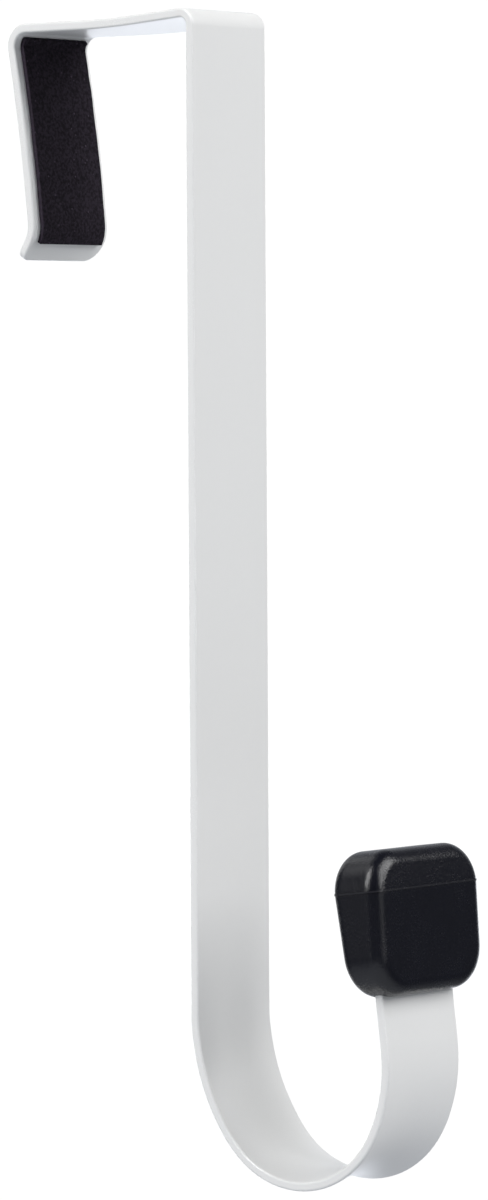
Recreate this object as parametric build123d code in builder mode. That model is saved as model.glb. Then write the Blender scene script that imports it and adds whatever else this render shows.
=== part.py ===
import os
from math import cos, pi, radians, sin, tan

from build123d import *

# Flat steel strip
strip_width = 25.4
strip_thickness = 2.0
edge_radius = 0.5
length_tolerance = 0.01

# Top strap, measured on the underside that rests on the door
door_gap = 47.5
strap_slope = 4.5
strap_ease_radius = 181.0
strap_rise_length = 13.0
front_bend_radius = 1.6

# Front leg and J-shaped hook, with the radii of the outer face
leg_length = 210.8
lead_in_radius = 44.0
lead_in_angle = 39.0
bowl_radius = 23.5
bowl_angle = 116.0
lead_out_radius = 34.0
lead_out_angle = 32.0
tip_visible_length = 10.6
tip_hidden_length = 20.0

# Saddle of the hook: how far the bend has drawn the strip's middle inwards from its edges
saddle_depth = 2.1
saddle_sections = 17

# Rear leg and its flared lip, with the radii of the face towards the door
rear_bend_radius = 2.9
rear_toe_in = 10.6
rear_bow_radius = 406.0
rear_bow_angle = 5.4
lip_radius = 7.2
lip_angle = 35.0
lip_tail_length = 4.6
lip_left_corner = 1.8
lip_right_corner = 4.8

# Foam pad, wrapped a little way round the rear bend and the lip
pad_width = 21.3
pad_thickness = 1.0
pad_upper_wrap = 60.0
pad_lower_wrap = 34.0

# Moulded cap, measured up and down from its parting line
cap_width = 37.7
cap_depth = 12.7
cap_upper_height = 8.5
cap_lower_height = 22.3
cap_upper_draft = 1.25
cap_lower_draft = 3.35
cap_top_corner = 8.9
cap_bottom_corner = 9.0
cap_edge_radius = 3.4
cap_shoulder_radius = 20.0
cap_forward_offset = 0.7
parting_line_proud = 0.12
parting_line_width = 0.4
slot_mouth_clearance = 0.35
slot_mouth_depth = 0.6

# Seat: the level part of the strap, as long as the slope and the two bends leave within the door gap
strap_ease_reach = strap_ease_radius * sin(radians(strap_slope))
strap_rise_reach = strap_rise_length * cos(radians(strap_slope))
front_bend_reach = front_bend_radius * (1 + sin(radians(strap_slope)))
seat_length = door_gap - strap_ease_reach - strap_rise_reach - front_bend_reach - rear_bend_radius

# Upper strip: the side view follows the face towards the door, forwards and backwards from the seat
with BuildPart() as upper_strip:
    with BuildSketch(Plane.YZ):
        with BuildLine():
            seat = Line((seat_length / 2, 0), (-seat_length / 2, 0))
            strap_ease = JernArc(seat @ 1, seat % 1, strap_ease_radius, -strap_slope)
            strap_rise = PolarLine(strap_ease @ 1, strap_rise_length, direction=strap_ease % 1)
            front_bend = JernArc(strap_rise @ 1, strap_rise % 1, front_bend_radius, 90 + strap_slope)
            leg = PolarLine(front_bend @ 1, leg_length, direction=front_bend % 1)
            rear_bend = JernArc(seat @ 0, -(seat % 0), rear_bend_radius, -(90 + rear_toe_in))
            rear_leg = JernArc(rear_bend @ 1, rear_bend % 1, rear_bow_radius, rear_bow_angle)
            lip = JernArc(rear_leg @ 1, rear_leg % 1, lip_radius, lip_angle)
            lip_tail = PolarLine(lip @ 1, lip_tail_length, direction=lip % 1)
            offset(amount=strip_thickness, side=Side.RIGHT)
        make_face()
    extrude(amount=strip_width / 2, both=True)
    end_edges = upper_strip.edges().filter_by(
        lambda edge: abs(edge.length - strip_thickness) < length_tolerance
    )
    lip_corners = end_edges.sort_by(Axis.Z)[-2:].sort_by(Axis.X)
    fillet(lip_corners[0], radius=lip_left_corner)
    fillet(lip_corners[-1], radius=lip_right_corner)
    leg_edges = upper_strip.edges().filter_by(Axis.Z).sort_by(SortBy.LENGTH)[-4:]
    fillet(leg_edges, radius=edge_radius)

# Side view of the hook: the same face, on from the foot of the leg
with BuildLine() as hook_side:
    lead_in = JernArc(leg @ 1, leg % 1, lead_in_radius, -lead_in_angle)
    bowl = JernArc(lead_in @ 1, lead_in % 1, bowl_radius, -bowl_angle)
    lead_out = JernArc(bowl @ 1, bowl % 1, lead_out_radius, -lead_out_angle)
hook_path = hook_side.wire()


def across(share):
    """Plane across the strip, at a share of the length of the hook"""
    return Plane(
        Plane.YZ.from_local_coords(hook_path @ share),
        x_dir=(1, 0, 0),
        z_dir=Plane.YZ.from_local_coords(hook_path % share),
    )


def strip_section(plane, rise):
    """Even band with square sides and rolled edges, whose middle rises into the hook"""
    with BuildSketch(plane) as section:
        with BuildLine():
            for height in (0, strip_thickness):
                left = (-strip_width / 2, height)
                right = (strip_width / 2, height)
                if rise > 0:
                    SagittaArc(left, right, rise)
                else:
                    Line(left, right)
            for side in (-strip_width / 2, strip_width / 2):
                Line((side, 0), (side, strip_thickness))
        make_face()
        fillet(section.vertices(), radius=edge_radius)
    return section.sketch


# Strip: the hook is lofted on to the upper strip, as a saddle that fades out at both ends, with a flat tip
tip_plane = across(1)
with BuildPart() as hook_strip:
    add(upper_strip.part)
    hook_sections = []
    for number in range(saddle_sections):
        share = number / (saddle_sections - 1)
        rise = saddle_depth * (1 - cos(2 * pi * share)) / 2
        hook_sections.append(strip_section(across(share), rise))
    loft(hook_sections)
    extrude(strip_section(tip_plane, 0), amount=tip_visible_length + tip_hidden_length)

# Foam pad: an even layer on the rear leg's inner face
with BuildPart() as foam_pad:
    with BuildSketch(Plane.YZ):
        with BuildLine():
            pad_upper = JernArc(rear_leg @ 0, -(rear_leg % 0), rear_bend_radius, pad_upper_wrap)
            pad_middle = JernArc(rear_leg @ 0, rear_leg % 0, rear_bow_radius, rear_bow_angle)
            pad_lower = JernArc(pad_middle @ 1, pad_middle % 1, lip_radius, pad_lower_wrap)
            offset(amount=pad_thickness, side=Side.LEFT)
        make_face()
    extrude(amount=pad_width / 2, both=True)

# Planes of the cap: across the strip at its mouth, and through the cap at its parting line
cap_mouth_plane = tip_plane.offset(tip_visible_length)
cap_middle = strip_thickness / 2 - cap_forward_offset
cap_centre = cap_mouth_plane.from_local_coords((0, cap_middle, cap_lower_height))
parting_plane = Plane(cap_centre, x_dir=tip_plane.x_dir, z_dir=tip_plane.z_dir)
cap_front_plane = Plane(cap_centre, x_dir=tip_plane.x_dir, z_dir=-tip_plane.y_dir)
cap_side_plane = Plane(cap_centre, x_dir=tip_plane.y_dir, z_dir=tip_plane.x_dir)

# Cap: front view and side view crossed, then rounded, with a fine parting line and a blind slot
cap_top_half_depth = cap_depth / 2 - cap_upper_height * tan(radians(cap_upper_draft))
cap_bottom_half_depth = cap_depth / 2 - cap_lower_height * tan(radians(cap_lower_draft))
with BuildPart() as tip_cap:
    with BuildSketch(cap_front_plane) as cap_front_view:
        with Locations((0, (cap_upper_height - cap_lower_height) / 2)):
            Rectangle(cap_width, cap_upper_height + cap_lower_height)
        fillet(cap_front_view.vertices().sort_by(Axis.Y)[-2:], radius=cap_top_corner)
        fillet(cap_front_view.vertices().sort_by(Axis.Y)[:2], radius=cap_bottom_corner)
    extrude(amount=cap_depth / 2, both=True)
    with BuildSketch(cap_side_plane) as cap_side_view:
        with BuildLine():
            Polyline(
                (-cap_bottom_half_depth, -cap_lower_height),
                (-cap_depth / 2, 0),
                (-cap_top_half_depth, cap_upper_height),
                (cap_top_half_depth, cap_upper_height),
                (cap_depth / 2, 0),
                (cap_bottom_half_depth, -cap_lower_height),
                close=True,
            )
        make_face()
        fillet(cap_side_view.vertices().sort_by(Axis.X)[0], radius=cap_shoulder_radius)
        fillet(cap_side_view.vertices().sort_by(Axis.X)[-1], radius=cap_shoulder_radius)
    extrude(amount=cap_width / 2, both=True, mode=Mode.INTERSECT)
    cap_top_edges = tip_cap.edges().filter_by(Axis.X).sort_by(Axis(cap_centre, tip_plane.z_dir))[-2:]
    fillet(cap_top_edges, radius=cap_edge_radius)
    with BuildSketch(parting_plane):
        RectangleRounded(
            cap_width + 2 * parting_line_proud,
            cap_depth + 2 * parting_line_proud,
            cap_edge_radius + parting_line_proud,
        )
    extrude(amount=parting_line_width / 2, both=True)
    with BuildSketch(cap_mouth_plane):
        with Locations((0, strip_thickness / 2)):
            RectangleRounded(strip_width, strip_thickness, edge_radius)
    extrude(amount=tip_hidden_length, mode=Mode.SUBTRACT)
    with BuildSketch(cap_mouth_plane):
        with Locations((0, strip_thickness / 2)):
            RectangleRounded(
                strip_width + 2 * slot_mouth_clearance,
                strip_thickness + 2 * slot_mouth_clearance,
                edge_radius + slot_mouth_clearance,
            )
    extrude(amount=slot_mouth_depth, mode=Mode.SUBTRACT)

hook_strip.part.label = "hook_strip"
foam_pad.part.label = "foam_pad"
tip_cap.part.label = "tip_cap"

os.makedirs("parts", exist_ok=True)
export_step(hook_strip.part, "parts/hook_strip.step")
export_step(foam_pad.part, "parts/foam_pad.step")
export_step(tip_cap.part, "parts/tip_cap.step")
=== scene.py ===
from math import cos, pi, radians, sin
from typing import NamedTuple

import bmesh
import bpy
from bpy.props import FloatProperty, FloatVectorProperty, IntProperty, PointerProperty
from mathutils import Matrix, Vector, noise


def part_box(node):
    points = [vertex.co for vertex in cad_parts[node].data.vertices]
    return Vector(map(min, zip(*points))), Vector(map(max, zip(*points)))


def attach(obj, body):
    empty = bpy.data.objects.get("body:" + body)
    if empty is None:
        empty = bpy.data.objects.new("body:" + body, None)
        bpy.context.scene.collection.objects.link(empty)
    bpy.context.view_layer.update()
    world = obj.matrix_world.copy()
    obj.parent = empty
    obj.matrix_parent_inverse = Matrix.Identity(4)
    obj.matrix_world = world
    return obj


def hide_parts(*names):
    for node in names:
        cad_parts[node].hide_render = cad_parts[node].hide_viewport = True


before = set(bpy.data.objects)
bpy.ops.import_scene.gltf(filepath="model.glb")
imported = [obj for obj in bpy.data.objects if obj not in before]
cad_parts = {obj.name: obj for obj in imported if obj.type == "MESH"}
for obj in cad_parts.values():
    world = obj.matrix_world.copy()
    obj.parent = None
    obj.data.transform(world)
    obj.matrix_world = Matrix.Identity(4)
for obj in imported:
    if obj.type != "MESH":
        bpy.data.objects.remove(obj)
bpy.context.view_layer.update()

bl_info = {
    "name": "Over Door Hook",
    "version": (1, 0, 0),
    "blender": (4, 5, 0),
    "location": "View3D > Sidebar > Door Hook",
    "description": "Finishes a bent steel over-door hook and sets it up for a product picture",
    "category": "Object",
}

MM = 0.001
ACROSS = (1, 0, 0)
WHITE = (1, 1, 1, 1)
BODY = "root"

strip_low, strip_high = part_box("hook_strip")
pad_half_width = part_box("foam_pad")[1].x


class StripFinish(bpy.types.PropertyGroup):
    """White powder coat on the bent steel strip"""

    colour: FloatVectorProperty(
        name="Coat Colour", description="Colour of the powder coat",
        subtype="COLOR", size=3, min=0, max=1, default=(0.864, 0.866, 0.858),
    )
    roughness: FloatProperty(
        name="Roughness", description="Blur of the coat's reflections",
        subtype="FACTOR", min=0, max=1, default=0.32,
    )
    refractive_index: FloatProperty(
        name="Refractive Index", description="Strength of the coat's gloss", min=1, default=1.5,
    )
    peel_size: FloatProperty(
        name="Orange Peel Size", description="Width of one soft wave in the coat",
        unit="LENGTH", default=1.3 * MM,
    )
    peel_depth: FloatProperty(
        name="Orange Peel Depth", description="Height of the soft waves in the coat",
        unit="LENGTH", default=0.012 * MM,
    )
    grain_size: FloatProperty(
        name="Grain Size", description="Width of one grain of the fused powder",
        unit="LENGTH", default=0.25 * MM,
    )
    drift_size: FloatProperty(
        name="Drift Size", description="Length over which the tone of the coat drifts",
        unit="LENGTH", default=39.0 * MM,
    )
    nib_spacing: FloatProperty(
        name="Nib Spacing", description="Space between the small nibs in the coat",
        unit="LENGTH", default=15.6 * MM,
    )
    # The band along each edge is also painted paler, as a highlight
    edge_width: FloatProperty(
        name="Edge Width", description="Width of the band along each edge where the coat has drawn thin",
        unit="LENGTH", default=0.45 * MM,
    )


class PadSettings(bpy.types.PropertyGroup):
    """Foam pad on the inner face of the rear leg"""

    strip_thickness: FloatProperty(
        name="Strip Thickness", description="Thickness of the steel strip that carries the pad",
        unit="LENGTH", default=2.0 * MM,
    )
    bend_radius: FloatProperty(
        name="Bend Radius", description="Inner radius of the bend from the strap to the rear leg",
        unit="LENGTH", default=2.9 * MM,
    )
    toe_in: FloatProperty(
        name="Toe-in", description="Lean of the rear leg towards the door",
        subtype="ANGLE", default=radians(10.6),
    )
    bow_radius: FloatProperty(
        name="Bow Radius", description="Radius of the rear leg's slight bow",
        unit="LENGTH", default=406.0 * MM,
    )
    bow_angle: FloatProperty(
        name="Bow Angle", description="Angle that the rear leg's bow turns through",
        subtype="ANGLE", default=radians(5.4),
    )
    lip_radius: FloatProperty(
        name="Lip Radius", description="Radius of the flared lip, on the side towards the door",
        unit="LENGTH", default=7.2 * MM,
    )
    upper_wrap: FloatProperty(
        name="Upper Wrap", description="Angle by which the pad follows the bend",
        subtype="ANGLE", default=radians(60.0),
    )
    lower_wrap: FloatProperty(
        name="Lower Wrap", description="Angle by which the pad follows the lip",
        subtype="ANGLE", default=radians(34.0),
    )
    thickness: FloatProperty(
        name="Pad Thickness", description="Thickness of the foam",
        unit="LENGTH", default=1.0 * MM,
    )
    edge_round: FloatProperty(
        name="Edge Round", description="Rounding of the die-cut edges",
        unit="LENGTH", default=0.15 * MM,
    )
    waver: FloatProperty(
        name="Waver", description="How far the die-cut sides waver from a straight line",
        unit="LENGTH", default=0.16 * MM,
    )
    waver_length: FloatProperty(
        name="Waver Length", description="Length of one waver along the die-cut sides",
        unit="LENGTH", default=4.0 * MM,
    )
    across: IntProperty(
        name="Faces Across", description="Number of faces across the pad", min=4, default=48,
    )
    colour: FloatVectorProperty(
        name="Foam Colour", description="Colour of the foam's skin",
        subtype="COLOR", size=3, min=0, max=1, default=(0.0215, 0.0170, 0.0240),
    )
    roughness: FloatProperty(
        name="Roughness", description="Least blur of the foam's reflections",
        subtype="FACTOR", min=0, max=1, default=0.86,
    )
    refractive_index: FloatProperty(
        name="Refractive Index", description="Strength of the foam's faint gloss", min=1, default=1.22,
    )
    cell_size: FloatProperty(
        name="Cell Size", description="Width of one foam cell",
        unit="LENGTH", default=0.65 * MM,
    )
    cell_depth: FloatProperty(
        name="Cell Depth", description="Depth of the relief that the cells give the skin",
        unit="LENGTH", default=0.13 * MM,
    )
    fine_size: FloatProperty(
        name="Fine Size", description="Width of the fine grain within the cells",
        unit="LENGTH", default=0.26 * MM,
    )
    lump_size: FloatProperty(
        name="Lump Size", description="Width of the soft lumps over many cells",
        unit="LENGTH", default=5.85 * MM,
    )
    speck_spacing: FloatProperty(
        name="Speck Spacing", description="Space between the pale specks of dust",
        unit="LENGTH", default=1.95 * MM,
    )


class CapFinish(bpy.types.PropertyGroup):
    """Black moulded cap on the tip of the hook"""

    colour: FloatVectorProperty(
        name="Cap Colour", description="Colour of the moulded cap",
        subtype="COLOR", size=3, min=0, max=1, default=(0.0019, 0.0022, 0.0060),
    )
    # Painted highlight: the parting line gets this paler colour in place of the light that its ridge catches
    parting_highlight_colour: FloatVectorProperty(
        name="Line Colour", description="Colour of the burnished parting line",
        subtype="COLOR", size=3, min=0, max=1, default=(0.020, 0.020, 0.024),
    )
    roughness: FloatProperty(
        name="Roughness", description="Blur of the cap's reflections",
        subtype="FACTOR", min=0, max=1, default=0.26,
    )
    refractive_index: FloatProperty(
        name="Refractive Index", description="Strength of the cap's gloss", min=1, default=1.5,
    )
    lean: FloatProperty(
        name="Lean", description="Lean of the cap towards the leg of the hook",
        subtype="ANGLE", default=radians(7.0),
    )
    parting_height: FloatProperty(
        name="Parting Height", description="Height of the parting line above the foot of the cap",
        unit="LENGTH", default=22.3 * MM,
    )
    line_core: FloatProperty(
        name="Line Core", description="Half width of the fully pale part of the parting line",
        unit="LENGTH", default=0.12 * MM,
    )
    line_reach: FloatProperty(
        name="Line Reach", description="Half width of the whole parting line, with its faded sides",
        unit="LENGTH", default=0.26 * MM,
    )
    grain_size: FloatProperty(
        name="Grain Size", description="Width of one grain of the moulded surface",
        unit="LENGTH", default=0.5 * MM,
    )
    grain_depth: FloatProperty(
        name="Grain Depth", description="Depth of the relief of the moulded surface",
        unit="LENGTH", default=0.085 * MM,
    )
    ripple_size: FloatProperty(
        name="Ripple Size", description="Width of the slow ripples in the moulded surface",
        unit="LENGTH", default=7.5 * MM,
    )


class StudioSettings(bpy.types.PropertyGroup):
    """Camera, floor and light"""

    azimuth: FloatProperty(
        name="Azimuth", description="Camera's turn to the right round the hook, from the front",
        subtype="ANGLE", default=radians(-52.14),
    )
    elevation: FloatProperty(
        name="Elevation", description="Camera's height over the aim point, as an angle",
        subtype="ANGLE", default=radians(2.1976),
    )
    roll: FloatProperty(
        name="Roll", description="Camera's turn round its own axis",
        subtype="ANGLE", default=radians(0.307),
    )
    distance: FloatProperty(
        name="Distance", description="Distance from the camera to the aim point",
        unit="LENGTH", default=1264.93 * MM,
    )
    aim: FloatVectorProperty(
        name="Aim", description="Point in the middle of the picture", subtype="TRANSLATION", unit="LENGTH",
        size=3, default=(2.124 * MM, -40.283 * MM, -122.934 * MM),
    )
    lens: FloatProperty(
        name="Lens", description="Focal length in millimetres on a 36 mm frame",
        unit="CAMERA", default=176.457,
    )
    floor_drop: FloatProperty(
        name="Floor Drop", description="Height of the hook above the floor",
        unit="LENGTH", default=350.0 * MM,
    )
    floor_radius: FloatProperty(
        name="Floor Radius", description="Radius of the floor", unit="LENGTH", default=9.0,
    )
    backdrop_white: FloatProperty(
        name="Backdrop White", description="Brightness of the floor and the wall as the camera sees them",
        min=0, default=1.04,
    )
    bounce_colour: FloatVectorProperty(
        name="Bounce Colour", description="Colour of the light that the floor and the wall give back",
        subtype="COLOR", size=3, min=0, max=1, default=(0.90, 0.935, 1.0),
    )
    pool_azimuth: FloatProperty(
        name="Pool Azimuth", description="Direction from the hook to the lit part of the floor",
        subtype="ANGLE", default=radians(-60.0),
    )
    pool_distance: FloatProperty(
        name="Pool Distance", description="Distance from the hook to the lit part of the floor",
        unit="LENGTH", default=0.6,
    )
    floor_light: FloatProperty(
        name="Floor Light", description="Brightness of the lit part of the floor, as the hook sees it",
        min=0, default=0.73,
    )
    sweep_light: FloatProperty(
        name="Sweep Light", description="Brightness of the floor behind the hook, as the hook sees it",
        min=0, default=2.2,
    )
    wall_light: FloatProperty(
        name="Wall Light", description="Brightness of the wall behind the hook, as the hook sees it",
        min=0, default=0.63,
    )
    room_light: FloatProperty(
        name="Room Light", description="Brightness of the rest of the room, as the hook sees it",
        min=0, default=0.1,
    )


class HookSettings(bpy.types.PropertyGroup):
    """All settings of the hook and its studio"""

    strip: PointerProperty(type=StripFinish)
    pad: PointerProperty(type=PadSettings)
    cap: PointerProperty(type=CapFinish)
    studio: PointerProperty(type=StudioSettings)


class Value:
    """A number socket; sums with it add Math nodes"""

    def __init__(self, graph, socket):
        self.graph = graph
        self.socket = socket

    def math(self, operation, *operands):
        """The result of a Math node"""
        settings = {"operation": operation}
        return self.graph.node("ShaderNodeMath", settings, dict(enumerate(operands))).value()

    def __add__(self, other):
        return self.math("ADD", self, other)

    def __radd__(self, other):
        return self.math("ADD", other, self)

    def __sub__(self, other):
        return self.math("SUBTRACT", self, other)

    def __rsub__(self, other):
        return self.math("SUBTRACT", other, self)

    def __mul__(self, other):
        return self.math("MULTIPLY", self, other)

    def __rmul__(self, other):
        return self.math("MULTIPLY", other, self)

    def __truediv__(self, other):
        return self.math("DIVIDE", self, other)

    def __rtruediv__(self, other):
        return self.math("DIVIDE", other, self)

    def __abs__(self):
        return self.math("ABSOLUTE", self)

    def ramp(self, low, high):
        """Rises smoothly from 0 at low to 1 at high"""
        settings = {"interpolation_type": "SMOOTHSTEP"}
        sockets = {"Value": self, "From Min": low, "From Max": high}
        return self.graph.node("ShaderNodeMapRange", settings, sockets).value()


class Node:
    """A shader node whose outputs are read by name"""

    def __init__(self, graph, node):
        self.graph = graph
        self.node = node

    def value(self, name=None):
        """An output as a number, the first one in use unless it is named"""
        outputs = self.node.outputs
        found = outputs[name] if name else next(o for o in outputs if o.enabled)
        return Value(self.graph, found)

    def link(self, name):
        """An output as a colour, vector or shader"""
        return next(o for o in self.node.outputs if o.enabled and o.name == name)


class Graph:
    """The node tree of a material or of the world"""

    def __init__(self, owner):
        self.owner = owner
        owner.use_nodes = True
        self.tree = owner.node_tree
        self.tree.nodes.clear()

    def node(self, kind, settings=None, sockets=None):
        """Adds a node, applies its settings, then sets or links its sockets, named or counted from 0"""
        node = self.tree.nodes.new(kind)
        for name, setting in (settings or {}).items():
            setattr(node, name, setting)
        for name, given in (sockets or {}).items():
            if isinstance(name, int):
                socket = node.inputs[name]
            else:
                socket = next(s for s in node.inputs if s.enabled and s.name == name)
            if isinstance(given, Value):
                given = given.socket
            if isinstance(given, bpy.types.NodeSocket):
                self.tree.links.new(given, socket)
            else:
                socket.default_value = given
        return Node(self, node)

    def place(self):
        """The surface point in the object's own frame"""
        return self.node("ShaderNodeTexCoord").link("Object")

    def measure(self, operation, *vectors):
        """A number that a Vector Math node makes from vectors"""
        sockets = dict(enumerate(vectors))
        return self.node("ShaderNodeVectorMath", {"operation": operation}, sockets).value("Value")

    def along(self, place, direction):
        """Distance of a point along a direction"""
        return self.measure("DOT_PRODUCT", place, direction)

    def noise(self, place, size, pattern):
        """A pattern's noise, from 0 to 1, with waves of a size"""
        sockets = {
            "Vector": place,
            "Scale": 1 / size,
            "Detail": pattern.detail,
            "Roughness": pattern.harshness,
        }
        return self.node("ShaderNodeTexNoise", {"noise_dimensions": "3D"}, sockets).value("Fac")

    def dots(self, place, spacing, slope):
        """Scattered dots: 1 inside each, falling to 0 over a slope given in shares of their spacing"""
        sockets = {"Vector": place, "Scale": 1 / spacing}
        distance = self.node("ShaderNodeTexVoronoi", {"feature": "F1"}, sockets).value("Distance")
        return 1 - distance.ramp(*slope)

    def mix(self, share, first, second):
        """A colour between two others"""
        sockets = {"Factor": share, "A": first, "B": second}
        return self.node("ShaderNodeMix", {"data_type": "RGBA"}, sockets).link("Result")

    def bump(self, height, depth):
        """A surface normal from a height between 0 and 1 and its depth in metres"""
        sockets = {"Height": height, "Distance": depth, "Strength": 1.0}
        return self.node("ShaderNodeBump", None, sockets).link("Normal")

    def seen_or_felt(self, kind, output, settings, glow):
        """A plain white to the camera, and another glow to the hook"""
        white = {"Color": WHITE, "Strength": settings.backdrop_white}
        seen = self.node(kind, None, white).link(output)
        felt = self.node(kind, None, {"Color": glow, "Strength": 1.0}).link(output)
        camera = self.node("ShaderNodeLightPath").value("Is Camera Ray")
        return self.node("ShaderNodeMixShader", None, {0: camera, 1: felt, 2: seen}).link("Shader")

    def principled(self, **sockets):
        """Ends the material in a Principled shader; an underscore stands for a space in a socket's name"""
        named = {name.replace("_", " "): given for name, given in sockets.items()}
        shader = self.node("ShaderNodeBsdfPrincipled", None, named)
        self.node("ShaderNodeOutputMaterial", None, {"Surface": shader.link("BSDF")})


def rgba(colour, gain=1.0):
    """A settings colour as a socket takes it, brighter or darker by a gain"""
    return (*[part * gain for part in colour], 1.0)


def tones(graph, tone, colour, gains):
    """A colour that runs from one gain on it to another as the tone rises from 0 to 1"""
    low, high = gains
    return graph.mix(tone, rgba(colour, low), rgba(colour, high))


class Pattern(NamedTuple):
    """A noise on a surface: its character, then its weights in the tone, the relief and the roughness"""

    detail: float
    harshness: float = 0.5
    tone: float = 0.0
    relief: float = 0.0
    blur: float = 0.0


# Middle of a noise's range, where it neither adds to the roughness nor takes from it
NOISE_MIDDLE = 0.5

# TONE and TONES hold gains on a finish's colour, and SHARE says how far a colour covers what is under it

# Powder coat: its patterns, its darkest and palest tone, its nibs, and the thin coat along the edges, made
# glossier and painted paler there as a highlight
COAT_PEEL = Pattern(detail=1.5, tone=0.2, relief=0.72)
COAT_GRAIN = Pattern(detail=2.0, tone=0.25, relief=0.2, blur=0.08)
COAT_DRIFT = Pattern(detail=3.0, tone=0.55, blur=0.1)
COAT_TONES = (0.965, 1.03)
NIB_SLOPE = (0.015, 0.05)
NIB_RELIEF = 0.25
# Painted highlight: gain and share that make the edge band paler than the coat
EDGE_HIGHLIGHT_TONE = 1.05
EDGE_HIGHLIGHT_SHARE = 0.5
EDGE_GLOSS = 0.06


def white_powder_coat(settings):
    """Satin white coat: soft orange peel, fine grain, and a thin, glossier coat along the edges, painted
    paler there as a highlight
    """
    graph = Graph(bpy.data.materials.new("white_powder_coat"))
    place = graph.place()
    edge = abs(graph.along(place, ACROSS)).ramp(strip_high.x - settings.edge_width, strip_high.x)
    peel = graph.noise(place, settings.peel_size, COAT_PEEL)
    grain = graph.noise(place, settings.grain_size, COAT_GRAIN)
    drift = graph.noise(place, settings.drift_size, COAT_DRIFT)
    nib = graph.dots(place, settings.nib_spacing, NIB_SLOPE)
    tone = COAT_DRIFT.tone * drift + COAT_GRAIN.tone * grain + COAT_PEEL.tone * peel
    relief = COAT_PEEL.relief * peel + COAT_GRAIN.relief * grain + NIB_RELIEF * nib
    blur = COAT_DRIFT.blur * (drift - NOISE_MIDDLE) + COAT_GRAIN.blur * (grain - NOISE_MIDDLE)
    colour = tones(graph, tone, settings.colour, COAT_TONES)
    # Painted highlight: the band along the edges is painted paler than the coat
    colour = graph.mix(EDGE_HIGHLIGHT_SHARE * edge, colour, rgba(settings.colour, EDGE_HIGHLIGHT_TONE))
    graph.principled(
        Base_Color=colour,
        Roughness=settings.roughness + blur - EDGE_GLOSS * edge,
        Normal=graph.bump(relief, settings.peel_depth),
        IOR=settings.refractive_index,
    )
    return graph.owner


# Foam: its patterns, how sharply the cells part, its darkest and palest tone, its specks and its cut sides
FOAM_CELLS = Pattern(detail=1.0, tone=0.65, relief=0.6)
FOAM_FINE = Pattern(detail=3.0, harshness=0.6, tone=0.2, relief=0.3, blur=0.12)
FOAM_LUMPS = Pattern(detail=3.0, tone=0.3, relief=0.1)
CELL_CONTRAST = (0.3, 0.7)
FOAM_DARKENING = 0.1
FOAM_TONES = (0.35, 1.55)
SPECK_SLOPE = (0.06, 0.14)
SPECK_TONE = 3.5
SPECK_SHARE = 0.8
CUT_TONE = 2.5
CUT_SHARE = 0.5


def black_foam(settings):
    """Dull closed-cell foam: a mottled cellular skin with a few pale specks, and paler cut sides"""
    graph = Graph(bpy.data.materials.new("black_foam"))
    place = graph.place()
    cut = abs(graph.along(place, ACROSS)).ramp(pad_half_width - settings.edge_round, pad_half_width)
    cells = graph.noise(place, settings.cell_size, FOAM_CELLS).ramp(*CELL_CONTRAST)
    fine = graph.noise(place, settings.fine_size, FOAM_FINE)
    lumps = graph.noise(place, settings.lump_size, FOAM_LUMPS)
    speck = graph.dots(place, settings.speck_spacing, SPECK_SLOPE)
    tone = FOAM_CELLS.tone * cells + FOAM_FINE.tone * fine + FOAM_LUMPS.tone * lumps - FOAM_DARKENING
    relief = FOAM_CELLS.relief * cells + FOAM_FINE.relief * fine + FOAM_LUMPS.relief * lumps
    colour = tones(graph, tone, settings.colour, FOAM_TONES)
    colour = graph.mix(SPECK_SHARE * speck, colour, rgba(settings.colour, SPECK_TONE))
    colour = graph.mix(CUT_SHARE * cut, colour, rgba(settings.colour, CUT_TONE))
    graph.principled(
        Base_Color=colour,
        Roughness=settings.roughness + FOAM_FINE.blur * fine,
        Normal=graph.bump(relief, settings.cell_depth),
        IOR=settings.refractive_index,
    )
    return graph.owner


# Cap: its patterns, its darkest and palest tone, and how far the painted highlight on the parting line
# covers the cap's colour
CAP_GRAIN = Pattern(detail=2.5, harshness=0.6, tone=0.4, relief=0.9, blur=0.08)
CAP_RIPPLE = Pattern(detail=2.0, tone=0.6, relief=0.1, blur=0.06)
CAP_TONES = (0.7, 1.4)
PARTING_HIGHLIGHT_SHARE = 0.7


def cap_foot(axis):
    """Distance of the lowest point of the cap along its own axis"""
    return min(axis.dot(vertex.co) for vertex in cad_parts["tip_cap"].data.vertices)


def black_cap(settings):
    """Satin moulded vinyl with a fine spark grain and a parting line painted pale as a highlight"""
    graph = Graph(bpy.data.materials.new("black_cap"))
    place = graph.place()
    axis = Vector((0, sin(settings.lean), cos(settings.lean)))
    from_line = graph.along(place, axis) - cap_foot(axis) - settings.parting_height
    line = 1 - abs(from_line).ramp(settings.line_core, settings.line_reach)
    grain = graph.noise(place, settings.grain_size, CAP_GRAIN)
    ripple = graph.noise(place, settings.ripple_size, CAP_RIPPLE)
    tone = CAP_RIPPLE.tone * ripple + CAP_GRAIN.tone * grain
    relief = CAP_GRAIN.relief * grain + CAP_RIPPLE.relief * ripple
    blur = CAP_GRAIN.blur * (grain - NOISE_MIDDLE) + CAP_RIPPLE.blur * (ripple - NOISE_MIDDLE)
    colour = tones(graph, tone, settings.colour, CAP_TONES)
    # Painted highlight: the thin band along the parting line is painted in the paler colour
    colour = graph.mix(PARTING_HIGHLIGHT_SHARE * line, colour, rgba(settings.parting_highlight_colour))
    graph.principled(
        Base_Color=colour,
        Roughness=settings.roughness + blur,
        Normal=graph.bump(relief, settings.grain_depth),
        IOR=settings.refractive_index,
    )
    return graph.owner


def assign(node_name, material):
    """Gives a node of the frame a finished material"""
    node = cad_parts[node_name]
    if not node.material_slots:
        node.data.materials.append(material)
    for slot in node.material_slots:
        slot.material = material


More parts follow.
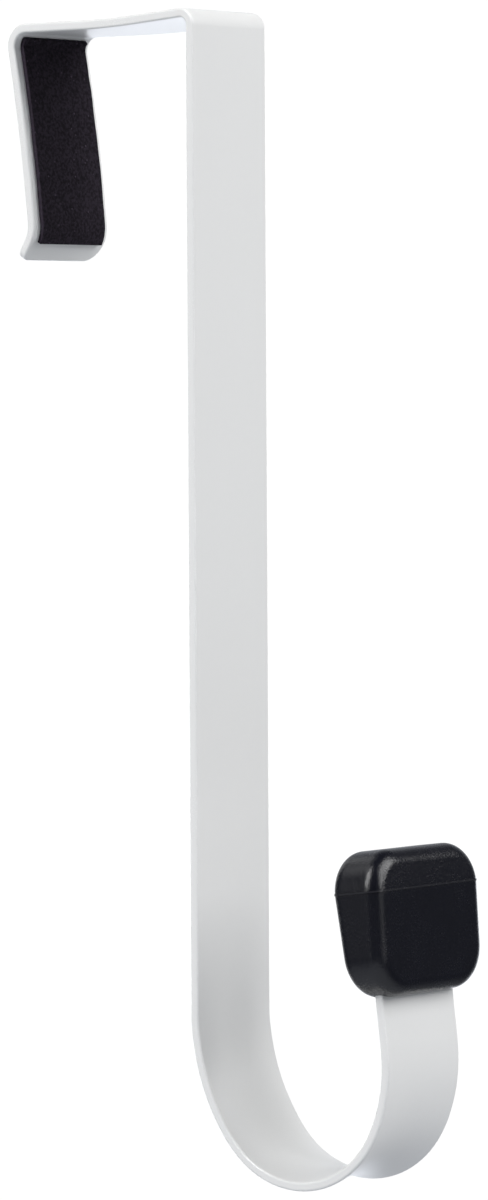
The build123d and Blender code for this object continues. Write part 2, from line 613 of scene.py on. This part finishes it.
def add_object(context, name, data):
    """Puts a new object into the scene, at the origin"""
    added = bpy.data.objects.new(name, data)
    context.scene.collection.objects.link(added)
    return added


def add_mesh(context, name, mesh):
    """Puts a bmesh into the scene as a new object, at the origin"""
    data = bpy.data.meshes.new(name)
    mesh.to_mesh(data)
    mesh.free()
    return add_object(context, name, data)


# Pad: faces through the foam and down each stretch of it, its rounded edges, and how closely the waver
# keeps to its sides
FACES_THROUGH = 2
BEND_STEPS = 12
LEG_STEPS = 72
LIP_STEPS = 12
ROUND_SEGMENTS = 3
SHARP_ANGLE = radians(60)
WAVER_POWER = 8


def outward(angle):
    """Direction in the side view, at an angle turned from straight up towards the rear"""
    return Vector((0, sin(angle), cos(angle)))


def pad_section(settings, bend_centre, angle):
    """Matrix that lays a grid's x across the strip and its y through the foam, at an angle round the bend"""
    half_thickness = settings.thickness / 2
    middle = bend_centre + (settings.bend_radius - half_thickness) * outward(angle)
    through = half_thickness * outward(angle)
    stretch = Matrix((
        (pad_half_width, 0, 0, 0),
        (0, through.y, 0, 0),
        (0, through.z, 1, 0),
        (0, 0, 0, 1),
    ))
    return Matrix.Translation(middle) @ stretch


def pad_mesh(settings):
    """Sweeps the pad's section down the rear leg, rounds its edges and lets its cut sides waver"""
    strip_inside = strip_high.y - settings.strip_thickness
    leg_start = pi / 2 + settings.toe_in
    lip_start = leg_start - settings.bow_angle
    bend_centre = Vector((0, strip_inside - settings.bend_radius, -settings.bend_radius))
    leg_top = bend_centre + settings.bend_radius * outward(leg_start)
    bow_centre = leg_top + settings.bow_radius * outward(leg_start)
    lip_centre = bow_centre - (settings.bow_radius - settings.lip_radius) * outward(lip_start)
    mesh = bmesh.new()
    bmesh.ops.create_grid(
        mesh, x_segments=settings.across, y_segments=FACES_THROUGH, size=1.0,
        matrix=pad_section(settings, bend_centre, leg_start - settings.upper_wrap),
    )
    moving = mesh.verts[:] + mesh.edges[:] + mesh.faces[:]
    for centre, angle, steps in (
        (bend_centre, -settings.upper_wrap, BEND_STEPS),
        (bow_centre, settings.bow_angle, LEG_STEPS),
        (lip_centre, settings.lower_wrap, LIP_STEPS),
    ):
        swept = bmesh.ops.spin(mesh, geom=moving, cent=centre, axis=ACROSS, angle=angle, steps=steps)
        moving = swept["geom_last"]
    bmesh.ops.recalc_face_normals(mesh, faces=mesh.faces)
    sharp = [edge for edge in mesh.edges if edge.calc_face_angle(0) > SHARP_ANGLE]
    bmesh.ops.bevel(
        mesh, geom=sharp, offset=settings.edge_round, offset_type="OFFSET", affect="EDGES",
        segments=ROUND_SEGMENTS, profile=0.5, material=-1, clamp_overlap=True,
    )
    for vertex in mesh.verts:
        sway = noise.noise(vertex.co / settings.waver_length)
        vertex.co.x += settings.waver * sway * (vertex.co.x / pad_half_width) ** WAVER_POWER
    return mesh


class Softbox(NamedTuple):
    """A soft light that faces the hook: degrees round and above it, size in metres, power in watts"""

    name: str
    azimuth: float
    elevation: float
    width: float
    height: float
    power: float


SOFTBOX_DISTANCE = 2.2
SOFTBOXES = (
    Softbox("left_key", -103, 36, 0.6, 1.8, 39.0),
    Softbox("left_card", -130, 0, 2.0, 2.0, 2.7),
    Softbox("rear_fill", -150, 48, 1.2, 1.0, 4.0),
    Softbox("front_key", 8, 36, 0.7, 1.8, 23.5),
    Softbox("front_low", -2, 3, 1.1, 0.9, 1.8),
    Softbox("right_key", 36, 45, 0.55, 0.8, 8.0),
    Softbox("right_fill", 37, 25, 0.55, 0.8, 11.5),
    Softbox("low_fill", -45, -18, 1.6, 0.7, 2.0),
)

CLIP_NEAR = 0.05
CLIP_FAR = 100
FLOOR_SEGMENTS = 96

# The lit pool on the floor fades between these distances from its middle
POOL_FADE = (0.3, 1.4)

# The bright wall rises between these cosines of the angle from the camera's line of sight
WALL_SPREAD = (0.62, 0.95)

# The bright sweep of the floor, under the wall, rises between these distances from the hook
SWEEP_RISE = (0.3, 0.9)


def facing(azimuth, elevation):
    """Direction from the hook to a point seen at an azimuth and an elevation"""
    return Vector((sin(azimuth) * cos(elevation), -cos(azimuth) * cos(elevation), sin(elevation)))


def camera_turn(settings):
    """The camera's right, up and back directions as the columns of a matrix"""
    back = facing(settings.azimuth, settings.elevation)
    right = Vector((cos(settings.azimuth), sin(settings.azimuth), 0))
    turn = Matrix((right, back.cross(right), back)).transposed()
    return turn @ Matrix.Rotation(-settings.roll, 3, "Z")


def place_camera(context, settings, turn):
    """A camera at the photograph's angle"""
    camera = bpy.data.cameras.new("camera")
    camera.lens = settings.lens
    camera.clip_start = CLIP_NEAR
    camera.clip_end = CLIP_FAR
    holder = add_object(context, "camera", camera)
    back = turn.col[2]
    position = Vector(settings.aim) + settings.distance * back
    holder.matrix_world = Matrix.Translation(position) @ turn.to_4x4()
    context.scene.camera = holder


def pale_floor(settings, sight, floor_height):
    """White to the camera; to the hook, dim with a lit pool before it and a bright sweep behind it"""
    graph = Graph(bpy.data.materials.new("pale_floor"))
    place = graph.place()
    reach = graph.measure("LENGTH", place)
    behind = (graph.along(place, sight) / reach).ramp(*WALL_SPREAD)
    sweep = behind * reach.ramp(*SWEEP_RISE)
    pool = settings.pool_distance * facing(settings.pool_azimuth, 0) + Vector((0, 0, floor_height))
    fade = graph.measure("DISTANCE", place, pool).ramp(*POOL_FADE)
    tint = settings.bounce_colour
    glow = tones(graph, fade, tint, (settings.floor_light, settings.room_light))
    glow = graph.mix(sweep, glow, rgba(tint, settings.sweep_light))
    surface = graph.seen_or_felt("ShaderNodeEmission", "Emission", settings, glow)
    graph.node("ShaderNodeOutputMaterial", None, {"Surface": surface})
    return graph.owner


def lay_floor(context, settings, sight):
    """A pale round floor, well below the hook"""
    floor_height = strip_low.z - settings.floor_drop
    mesh = bmesh.new()
    bmesh.ops.create_circle(
        mesh, cap_ends=True, segments=FLOOR_SEGMENTS, radius=settings.floor_radius,
        matrix=Matrix.Translation((0, 0, floor_height)),
    )
    floor = add_mesh(context, "floor", mesh)
    floor.data.materials.append(pale_floor(settings, sight, floor_height))


def light_room(context, settings, sight):
    """A dim room with a bright wall behind the hook"""
    world = bpy.data.worlds.new("room")
    context.scene.world = world
    graph = Graph(world)
    direction = graph.node("ShaderNodeTexCoord").link("Generated")
    behind = graph.along(direction, sight).ramp(*WALL_SPREAD)
    glow = tones(graph, behind, settings.bounce_colour, (settings.room_light, settings.wall_light))
    surface = graph.seen_or_felt("ShaderNodeBackground", "Background", settings, glow)
    graph.node("ShaderNodeOutputWorld", None, {"Surface": surface})


def hang_softboxes(context, settings):
    """Large soft lights round the hook, hidden from the camera"""
    for box in SOFTBOXES:
        light = bpy.data.lights.new(box.name, "AREA")
        light.shape = "RECTANGLE"
        light.size = box.width
        light.size_y = box.height
        light.energy = box.power
        holder = add_object(context, box.name, light)
        towards = facing(radians(box.azimuth), radians(box.elevation))
        holder.location = Vector(settings.aim) + SOFTBOX_DISTANCE * towards
        holder.rotation_mode = "QUATERNION"
        holder.rotation_quaternion = (-towards).to_track_quat("-Z", "Y")
        holder.visible_camera = False


class DOORHOOK_OT_coat_strip(bpy.types.Operator):
    """Give the steel strip its white powder coat"""

    bl_idname = "doorhook.coat_strip"
    bl_label = "Coat Strip"

    def execute(self, context):
        assign("hook_strip", white_powder_coat(context.scene.door_hook.strip))
        return {"FINISHED"}


class DOORHOOK_OT_lay_pad(bpy.types.Operator):
    """Lay the foam pad on the inner face of the rear leg"""

    bl_idname = "doorhook.lay_pad"
    bl_label = "Lay Foam Pad"

    def execute(self, context):
        settings = context.scene.door_hook.pad
        pad = add_mesh(context, "foam_pad_sheet", pad_mesh(settings))
        pad.data.shade_smooth()
        pad.data.materials.append(black_foam(settings))
        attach(pad, BODY)
        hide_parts("foam_pad")
        return {"FINISHED"}


class DOORHOOK_OT_finish_cap(bpy.types.Operator):
    """Give the cap its moulded black finish"""

    bl_idname = "doorhook.finish_cap"
    bl_label = "Finish Cap"

    def execute(self, context):
        assign("tip_cap", black_cap(context.scene.door_hook.cap))
        return {"FINISHED"}


class DOORHOOK_OT_set_studio(bpy.types.Operator):
    """Set the camera, the pale floor and the soft lights"""

    bl_idname = "doorhook.set_studio"
    bl_label = "Set Studio"

    def execute(self, context):
        settings = context.scene.door_hook.studio
        turn = camera_turn(settings)
        sight = -turn.col[2]
        place_camera(context, settings, turn)
        lay_floor(context, settings, sight)
        light_room(context, settings, sight)
        hang_softboxes(context, settings)
        context.scene.view_settings.view_transform = "Standard"
        return {"FINISHED"}


class DOORHOOK_PT_sidebar(bpy.types.Panel):
    """Settings and steps of the hook"""

    bl_idname = "DOORHOOK_PT_sidebar"
    bl_label = "Over Door Hook"
    bl_space_type = "VIEW_3D"
    bl_region_type = "UI"
    bl_category = "Door Hook"

    def draw(self, context):
        settings = context.scene.door_hook
        for group, operator in (
            (settings.strip, DOORHOOK_OT_coat_strip),
            (settings.pad, DOORHOOK_OT_lay_pad),
            (settings.cap, DOORHOOK_OT_finish_cap),
            (settings.studio, DOORHOOK_OT_set_studio),
        ):
            box = self.layout.box()
            for name in group.__annotations__:
                box.prop(group, name)
            box.operator(operator.bl_idname)


CLASSES = (
    StripFinish,
    PadSettings,
    CapFinish,
    StudioSettings,
    HookSettings,
    DOORHOOK_OT_coat_strip,
    DOORHOOK_OT_lay_pad,
    DOORHOOK_OT_finish_cap,
    DOORHOOK_OT_set_studio,
    DOORHOOK_PT_sidebar,
)


def register():
    """Adds the classes and the scene's settings to Blender"""
    for cls in CLASSES:
        bpy.utils.register_class(cls)
    bpy.types.Scene.door_hook = PointerProperty(type=HookSettings)


def unregister():
    """Takes the settings and the classes out again"""
    del bpy.types.Scene.door_hook
    for cls in reversed(CLASSES):
        bpy.utils.unregister_class(cls)


def main():
    """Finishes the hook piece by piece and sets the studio"""
    register()
    bpy.ops.doorhook.coat_strip()
    bpy.ops.doorhook.lay_pad()
    bpy.ops.doorhook.finish_cap()
    bpy.ops.doorhook.set_studio()


if __name__ == "__main__":
    main()
